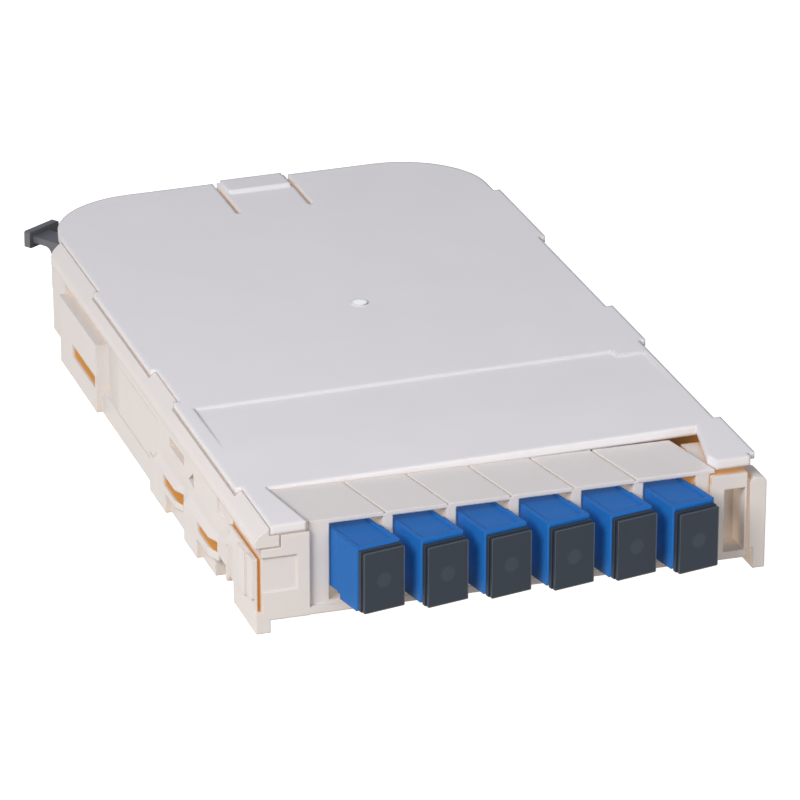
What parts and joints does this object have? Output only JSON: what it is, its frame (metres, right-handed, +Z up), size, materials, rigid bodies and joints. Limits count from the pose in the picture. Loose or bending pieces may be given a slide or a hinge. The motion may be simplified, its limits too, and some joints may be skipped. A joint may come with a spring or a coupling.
{
  "type": "fibre termination module",
  "caption": "Flat slide-in fibre splice and patch module: ivory tray with lift-off lid and a row of angled blue SC ports with dark dust caps.",
  "frame": {"origin": "centre of the whole module's bounding box, on the surface the rails stand on", "axes": "+X to the module's right seen from the ports, +Y towards its rounded rear end, +Z up out of the lid"},
  "size_m": [0.106, 0.189, 0.0237],
  "materials": {
    "ivory_plastic": "satin moulded",
    "lid_plastic": "fine satin moulded",
    "latch_plastic": "satin moulded",
    "blue_plastic": "semi gloss moulded",
    "holder_plastic": "satin moulded",
    "ceramic": "polished ceramic",
    "boot_rubber": "matte",
    "cap_rubber": "soft matte",
    "fibre_jacket": "smooth jacket"
  },
  "bodies": {
    "module": {"tray": "ivory_plastic", "splice_holder": "holder_plastic", "adapter_1": "blue_plastic", "adapter_2": "blue_plastic", "adapter_3": "blue_plastic", "adapter_4": "blue_plastic", "adapter_5": "blue_plastic", "adapter_6": "blue_plastic", "sleeve_holder_1": "holder_plastic", "sleeve_holder_2": "holder_plastic", "sleeve_holder_3": "holder_plastic", "sleeve_holder_4": "holder_plastic", "sleeve_holder_5": "holder_plastic", "sleeve_holder_6": "holder_plastic", "sleeve_1": "ceramic", "sleeve_2": "ceramic", "sleeve_3": "ceramic", "sleeve_4": "ceramic", "sleeve_5": "ceramic", "sleeve_6": "ceramic", "plug_1": "blue_plastic", "plug_2": "blue_plastic", "plug_3": "blue_plastic", "plug_4": "blue_plastic", "plug_5": "blue_plastic", "plug_6": "blue_plastic", "boot_1": "boot_rubber", "boot_2": "boot_rubber", "boot_3": "boot_rubber", "boot_4": "boot_rubber", "boot_5": "boot_rubber", "boot_6": "boot_rubber", "pigtail_1": "fibre_jacket", "pigtail_2": "fibre_jacket", "pigtail_3": "fibre_jacket", "pigtail_4": "fibre_jacket", "pigtail_5": "fibre_jacket", "pigtail_6": "fibre_jacket"},
    "lid": {"lid": "lid_plastic"},
    "release_latch": {"release_latch": "latch_plastic"},
    "dust_cap_1": {"dust_cap_1": "cap_rubber"},
    "dust_cap_2": {"dust_cap_2": "cap_rubber"},
    "dust_cap_3": {"dust_cap_3": "cap_rubber"},
    "dust_cap_4": {"dust_cap_4": "cap_rubber"},
    "dust_cap_5": {"dust_cap_5": "cap_rubber"},
    "dust_cap_6": {"dust_cap_6": "cap_rubber"}
  },
  "joints": [
    {"name": "lid_lift", "type": "slide", "parent": "module", "child": "lid", "axis": [0, 0, 1], "range_m": [0, 0.06]},
    {"name": "latch_swing", "type": "hinge", "parent": "module", "child": "release_latch", "pos_m": [-0.04037, 0.07218, 0.011], "axis": [0, 0, 1], "range_deg": [-8, 8]},
    {"name": "dust_cap_1_pull", "type": "slide", "parent": "module", "child": "dust_cap_1", "axis": [0.2079, -0.9781, 0], "range_m": [0, 0.025]},
    {"name": "dust_cap_2_pull", "type": "slide", "parent": "module", "child": "dust_cap_2", "axis": [0.2079, -0.9781, 0], "range_m": [0, 0.025]},
    {"name": "dust_cap_3_pull", "type": "slide", "parent": "module", "child": "dust_cap_3", "axis": [0.2079, -0.9781, 0], "range_m": [0, 0.025]},
    {"name": "dust_cap_4_pull", "type": "slide", "parent": "module", "child": "dust_cap_4", "axis": [0.2079, -0.9781, 0], "range_m": [0, 0.025]},
    {"name": "dust_cap_5_pull", "type": "slide", "parent": "module", "child": "dust_cap_5", "axis": [0.2079, -0.9781, 0], "range_m": [0, 0.025]},
    {"name": "dust_cap_6_pull", "type": "slide", "parent": "module", "child": "dust_cap_6", "axis": [0.2079, -0.9781, 0], "range_m": [0, 0.025]}
  ]
}
